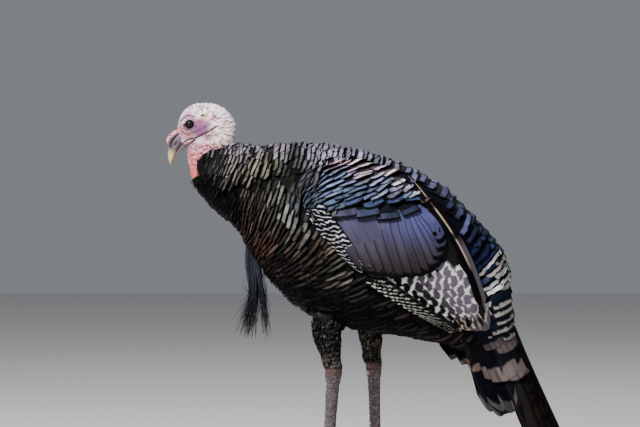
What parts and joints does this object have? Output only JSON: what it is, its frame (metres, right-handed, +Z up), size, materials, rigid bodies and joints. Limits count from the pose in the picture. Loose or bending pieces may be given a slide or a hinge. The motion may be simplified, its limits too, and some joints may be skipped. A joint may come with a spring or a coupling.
{
  "type": "wild turkey",
  "caption": "Wild turkey gobbler standing at rest, neck drawn in, with folded wings, hanging breast beard and a lowered folded tail; a still life-size model.",
  "frame": {"origin": "on the ground under the middle of the bird's overall box", "axes": "+X towards the tail, so the bird faces -X; +Y towards its right side; +Z up"},
  "size_m": [0.6561, 0.2562, 0.61],
  "materials": {
    "skin_white": "bare wrinkled skin, whitish with red pits",
    "skin_red": "bare warty skin, pink to salmon red",
    "plumage": "iridescent bronze-black body feathers with black tips",
    "coverts": "slate blue to violet wing coverts with black edges",
    "flight": "flight feathers barred white and dark brown",
    "tail": "dark barred tail feathers with pale buff tips",
    "thigh": "short dark grey feathers",
    "leg": "scaly skin, pinkish grey",
    "horn": "horn, blue-grey at the base and cream at the tip",
    "claw": "dark brown horn",
    "eye": "wet and almost black",
    "beard": "coarse black bristles"
  },
  "bodies": {
    "root": {"head": "skin_white", "bill_upper": "horn", "bill_lower": "horn", "snood": "skin_red", "eye_left": "eye", "eye_right": "eye", "neck": "skin_red", "lower_neck": "plumage", "trunk": "plumage", "rump": "plumage", "beard": "beard", "wing_left": "coverts", "wing_right": "coverts", "flight_feathers_left": "flight", "flight_feathers_right": "flight", "tail_middle": "tail", "tail_outer_left": "tail", "tail_outer_right": "tail", "thigh_left": "thigh", "thigh_right": "thigh", "shank_left": "leg", "shank_right": "leg", "foot_left": "leg", "foot_right": "leg", "spur_left": "claw", "spur_right": "claw", "claw_middle_left": "claw", "claw_inner_left": "claw", "claw_outer_left": "claw", "claw_hind_left": "claw", "claw_middle_right": "claw", "claw_inner_right": "claw", "claw_outer_right": "claw", "claw_hind_right": "claw"}
  },
  "joints": []
}
